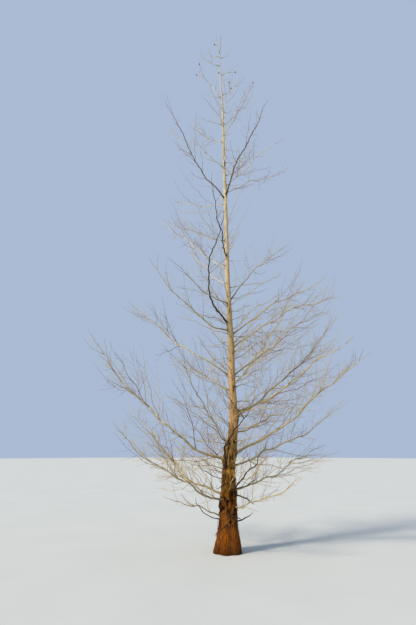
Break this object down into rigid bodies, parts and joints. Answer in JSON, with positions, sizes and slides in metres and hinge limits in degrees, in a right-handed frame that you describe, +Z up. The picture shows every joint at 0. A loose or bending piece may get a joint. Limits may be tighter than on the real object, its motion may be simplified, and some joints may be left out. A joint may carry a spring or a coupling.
{
  "type": "dawn redwood tree",
  "caption": "Tall slim deciduous conifer in winter, bare of needles: a flared, fluted trunk to the tip, with upswept boughs low down and thin twiggy branches above.",
  "frame": {"origin": "middle of the flat cut under the trunk, at ground level", "axes": "+Z up the trunk to the leader's tip; +X to the right and +Y away from the viewer as the tree was pictured"},
  "size_m": [5.1132, 4.0415, 10.8],
  "materials": {
    "trunk_bark": "fibrous red-brown bark on the foot, paler tan and straw higher up",
    "bough_bark": "thin straw to grey-brown bark",
    "twigs": "smooth thin bark, straw to pinkish brown, with small dark buds and cones"
  },
  "bodies": {
    "root": {"trunk": "trunk_bark", "bough_01": "bough_bark", "bough_02": "bough_bark", "bough_03": "bough_bark", "bough_04": "bough_bark", "bough_05": "bough_bark", "bough_06": "bough_bark", "bough_07": "bough_bark", "bough_08": "bough_bark", "bough_09": "bough_bark", "bough_10": "bough_bark", "bough_01_twigs": "twigs", "bough_02_twigs": "twigs", "bough_03_twigs": "twigs", "bough_04_twigs": "twigs", "bough_05_twigs": "twigs", "bough_06_twigs": "twigs", "bough_07_twigs": "twigs", "bough_08_twigs": "twigs", "bough_09_twigs": "twigs", "bough_10_twigs": "twigs", "branch_11_twigs": "twigs", "branch_12_twigs": "twigs", "branch_13_twigs": "twigs", "branch_14_twigs": "twigs", "branch_15_twigs": "twigs", "branch_16_twigs": "twigs", "branch_17_twigs": "twigs", "branch_18_twigs": "twigs", "branch_19_twigs": "twigs", "branch_20_twigs": "twigs", "branch_21_twigs": "twigs", "branch_22_twigs": "twigs", "branch_23_twigs": "twigs", "branch_24_twigs": "twigs", "branch_25_twigs": "twigs", "branch_26_twigs": "twigs", "branch_27_twigs": "twigs", "branch_28_twigs": "twigs", "branch_29_twigs": "twigs", "branch_30_twigs": "twigs", "branch_31_twigs": "twigs", "branch_32_twigs": "twigs", "branch_33_twigs": "twigs", "branch_34_twigs": "twigs", "branch_35_twigs": "twigs", "branch_36_twigs": "twigs", "branch_37_twigs": "twigs", "branch_38_twigs": "twigs", "branch_39_twigs": "twigs", "branch_40_twigs": "twigs", "branch_41_twigs": "twigs", "branch_42_twigs": "twigs", "branch_43_twigs": "twigs", "branch_44_twigs": "twigs", "branch_45_twigs": "twigs", "branch_46_twigs": "twigs", "branch_47_twigs": "twigs", "branch_48_twigs": "twigs", "branch_49_twigs": "twigs"}
  },
  "joints": []
}
